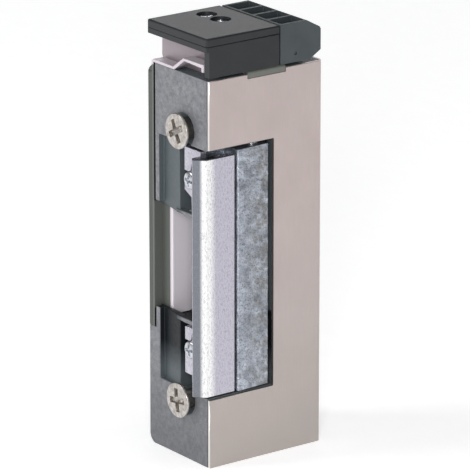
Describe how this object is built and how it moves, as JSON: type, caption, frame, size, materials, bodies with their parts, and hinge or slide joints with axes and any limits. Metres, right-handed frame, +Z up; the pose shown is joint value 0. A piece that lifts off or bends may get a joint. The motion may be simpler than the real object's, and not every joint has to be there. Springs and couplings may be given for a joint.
{
  "type": "electric door strike",
  "caption": "Compact electric door strike: cast body with cover sheets, swinging keeper with adjustable nose, latch cavity, magnet lock and a plug-in terminal unit on top.",
  "frame": {"origin": "centre of the housing bottom face", "axes": "+Z up along the body; -Y is the front with the latch cavity; +X is the cover side the keeper swings out to"},
  "size_m": [0.0204, 0.0306, 0.0887],
  "materials": {
    "zinc_casting": "as cast",
    "satin_cover_sheet": "satin",
    "zinc_plated_screw": "plated",
    "grey_plate": "satin",
    "satin_side_sheet": "satin",
    "satin_bracket_sheet": "satin",
    "rivet_steel": "satin",
    "nickel_screw": "plated",
    "keeper_casting": "tumbled",
    "keeper_nose_casting": "polished",
    "clamp_screw": "plated",
    "pin_steel": "ground",
    "spring_steel": "drawn",
    "hardened_pawl": "hardened",
    "pin_steel_b": "ground",
    "spring_steel_b": "drawn",
    "soft_iron_yoke": "plated",
    "soft_iron_core": "turned",
    "pad_plastic": "moulded",
    "bobbin_plastic": "moulded",
    "copper_winding": "enamelled",
    "soft_iron_armature": "plated",
    "pin_steel_c": "ground",
    "spring_steel_c": "drawn",
    "lead_insulation": "extruded",
    "diode_body": "moulded",
    "terminal_base_plastic": "moulded",
    "terminal_cap_plastic": "moulded",
    "clamp_brass": "milled",
    "terminal_screw": "plated",
    "blade_brass": "stamped",
    "plug_plastic": "moulded",
    "sleeve_brass": "stamped"
  },
  "bodies": {
    "frame": {"housing": "zinc_casting", "right_cover": "satin_cover_sheet", "cover_screws": "zinc_plated_screw", "left_outer_plate": "grey_plate", "left_side_sheet": "satin_side_sheet", "terminal_bracket": "satin_bracket_sheet", "side_rivets": "rivet_steel", "fixing_screws": "nickel_screw", "keeper_pin": "pin_steel", "pawl_pin": "pin_steel_b", "pawl_spring": "spring_steel_b", "magnet_yoke": "soft_iron_yoke", "magnet_core": "soft_iron_core", "magnet_pad": "pad_plastic", "coil_bobbin": "bobbin_plastic", "coil_winding": "copper_winding", "armature_pin": "pin_steel_c", "armature_spring": "spring_steel_c", "coil_leads": "lead_insulation", "suppression_diode": "diode_body", "terminal_base": "terminal_base_plastic", "terminal_cap": "terminal_cap_plastic", "terminal_clamps": "clamp_brass", "terminal_screws": "terminal_screw", "contact_blades": "blade_brass"},
    "keeper": {"keeper_lever": "keeper_casting", "keeper_clamp_screws": "clamp_screw", "keeper_spring": "spring_steel"},
    "nose": {"keeper_nose": "keeper_nose_casting"},
    "pawl": {"locking_pawl": "hardened_pawl"},
    "armature": {"armature": "soft_iron_armature"},
    "plug": {"connector_plug": "plug_plastic", "plug_contacts": "sleeve_brass"}
  },
  "joints": [
    {"name": "keeper_swing", "type": "hinge", "parent": "frame", "child": "keeper", "pos_m": [0.0073, -0.0016, 0.04], "axis": [0, 0, 1], "range_deg": [0, 45], "stiffness_Nm_per_rad": 0.02, "springref_deg": -28.65, "deforming": ["keeper_spring"]},
    {"name": "nose_adjust", "type": "slide", "parent": "keeper", "child": "nose", "axis": [1, 0, 0], "range_m": [0, 0.002]},
    {"name": "pawl_swing", "type": "hinge", "parent": "frame", "child": "pawl", "pos_m": [-0.003, 0.0055, 0.0546], "axis": [0, -1, 0], "range_deg": [0, 27], "deforming": ["pawl_spring"]},
    {"name": "armature_swing", "type": "hinge", "parent": "frame", "child": "armature", "pos_m": [0.008, 0.0076, 0.0522], "axis": [0, -1, 0], "range_deg": [0, 6.75], "deforming": ["armature_spring"]},
    {"name": "plug_pull", "type": "slide", "parent": "frame", "child": "plug", "axis": [0, 1, 0], "range_m": [0, 0.006]}
  ],
  "couplings": [
    {"joint": "pawl_swing", "follows": "keeper_swing", "ratio": 0.6},
    {"joint": "armature_swing", "follows": "keeper_swing", "ratio": 0.15}
  ]
}
